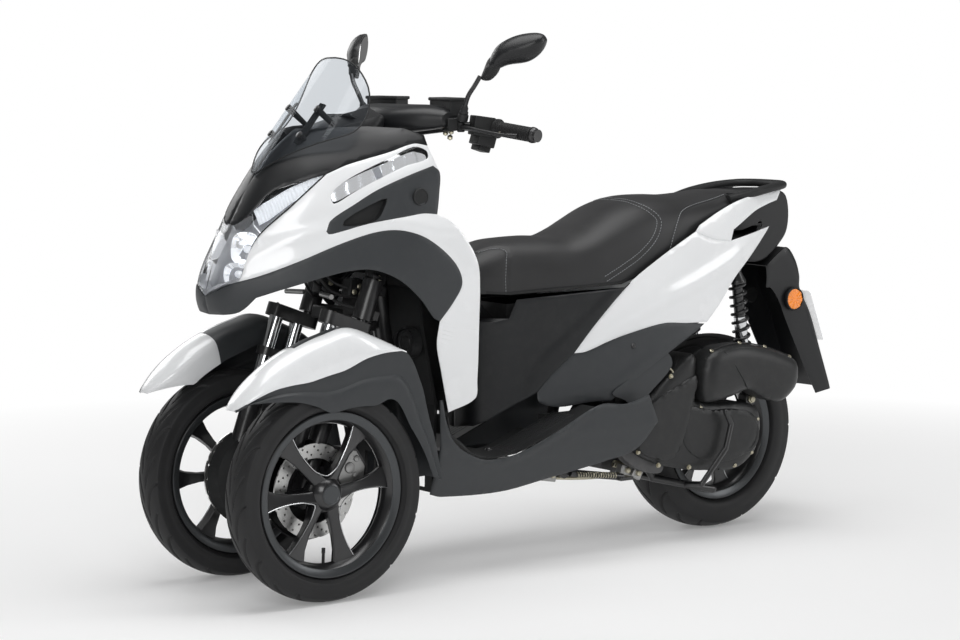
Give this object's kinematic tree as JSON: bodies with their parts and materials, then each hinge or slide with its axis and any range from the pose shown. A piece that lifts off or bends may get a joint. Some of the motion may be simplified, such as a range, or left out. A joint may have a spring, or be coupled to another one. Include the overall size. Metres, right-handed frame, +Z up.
{
  "type": "leaning reverse trike scooter",
  "caption": "Step-through scooter with twin steered front wheels on a leaning linkage, one driven rear wheel, windscreen, stepped seat over a storage tub, and side and centre stands.",
  "frame": {"origin": "on the floor, in the middle of the overall length and width", "axes": "+X forward, +Y the rider's left, +Z up"},
  "size_m": [1.98, 0.7568, 1.3],
  "materials": {
    "tyre": "moulded rubber",
    "cast_alloy": "black paint on cast alloy, machined lip",
    "disc_steel": "ground steel",
    "black_metal": "satin black paint",
    "white_panel": "gloss white paint, clear coated",
    "grey_panel": "satin dark grey",
    "black_plastic": "fine textured black",
    "engine_alloy": "cast, unpainted",
    "exhaust_steel": "heat resistant black paint",
    "plate": "blank white",
    "reflector": "orange prismatic",
    "tail_lens": "red lens",
    "clear_lens": "clear moulded lens",
    "screen": "clear sheet, tinted at the foot",
    "seat_vinyl": "black grained vinyl",
    "grip_rubber": "moulded rubber"
  },
  "bodies": {
    "body": {"frame": "black_metal", "lean_arms": "black_metal", "engine_block": "engine_alloy", "drive_case": "black_plastic", "rear_arm": "black_metal", "airbox": "black_plastic", "exhaust": "exhaust_steel", "rear_shocks": "black_metal", "rear_fender": "black_plastic", "number_plate": "plate", "side_reflectors": "reflector", "tail_cover": "black_plastic", "tail_lamp": "tail_lens", "grab_rail": "black_plastic", "upper_side_panels": "white_panel", "rear_side_panels": "white_panel", "lower_side_panels": "grey_panel", "centre_cover": "black_plastic", "storage_box": "black_plastic", "footboard": "black_plastic", "floor_skirts": "grey_panel", "inner_fender": "black_plastic", "horn": "black_plastic", "leg_shield": "black_plastic", "dash": "black_plastic", "front_side_panels": "white_panel", "arch_panels": "grey_panel", "cheek_panels": "grey_panel", "front_indicators": "clear_lens", "headlamp_lenses": "clear_lens", "lamp_housing": "black_plastic", "nose_cover": "black_plastic", "windscreen": "screen"},
    "steering": {"handlebar": "black_metal", "grips": "grip_rubber", "controls": "black_plastic", "mirrors": "black_plastic", "handlebar_cover": "black_plastic"},
    "left_fork": {"left_fork": "black_metal", "left_brake_cover": "black_plastic", "left_fender": "white_panel", "left_fender_skirt": "grey_panel"},
    "right_fork": {"right_fork": "black_metal", "right_brake_cover": "black_plastic", "right_fender": "white_panel", "right_fender_skirt": "grey_panel"},
    "left_wheel": {"left_tyre": "tyre", "left_rim": "cast_alloy", "left_disc": "disc_steel"},
    "right_wheel": {"right_tyre": "tyre", "right_rim": "cast_alloy", "right_disc": "disc_steel"},
    "rear_wheel": {"rear_tyre": "tyre", "rear_rim": "cast_alloy", "rear_disc": "disc_steel"},
    "seat_lid": {"seat": "seat_vinyl", "seat_pan": "black_plastic"},
    "side_stand": {"side_stand": "black_metal"},
    "centre_stand": {"centre_stand": "black_metal"}
  },
  "joints": [
    {"name": "steering", "type": "hinge", "parent": "body", "child": "steering", "pos_m": [0.808, 0, 0], "axis": [-0.342, 0, 0.9397], "range_deg": [-30, 30]},
    {"name": "left_fork_steer", "type": "hinge", "parent": "body", "child": "left_fork", "pos_m": [0.808, 0.112, 0], "axis": [-0.342, 0, 0.9397], "range_deg": [-30, 30]},
    {"name": "right_fork_steer", "type": "hinge", "parent": "body", "child": "right_fork", "pos_m": [0.808, -0.112, 0], "axis": [-0.342, 0, 0.9397], "range_deg": [-30, 30]},
    {"name": "left_wheel_spin", "type": "hinge", "parent": "left_fork", "child": "left_wheel", "pos_m": [0.74, 0.1925, 0.25], "axis": [0, 1, 0], "continuous": true},
    {"name": "right_wheel_spin", "type": "hinge", "parent": "right_fork", "child": "right_wheel", "pos_m": [0.74, -0.1925, 0.25], "axis": [0, 1, 0], "continuous": true},
    {"name": "rear_wheel_spin", "type": "hinge", "parent": "body", "child": "rear_wheel", "pos_m": [-0.61, 0, 0.256], "axis": [0, 1, 0], "continuous": true},
    {"name": "seat_hinge", "type": "hinge", "parent": "body", "child": "seat_lid", "pos_m": [0.19, 0, 0.652], "axis": [0, 1, 0], "range_deg": [0, 55]},
    {"name": "side_stand_pivot", "type": "hinge", "parent": "body", "child": "side_stand", "pos_m": [-0.02, 0.123, 0.216], "axis": [0, -1, 0], "range_deg": [0, 100]},
    {"name": "centre_stand_pivot", "type": "hinge", "parent": "body", "child": "centre_stand", "pos_m": [-0.33, 0, 0.196], "axis": [0, -1, 0], "range_deg": [0, 72]}
  ],
  "couplings": [
    {"joint": "left_fork_steer", "follows": "steering", "ratio": 1},
    {"joint": "right_fork_steer", "follows": "steering", "ratio": 1}
  ]
}
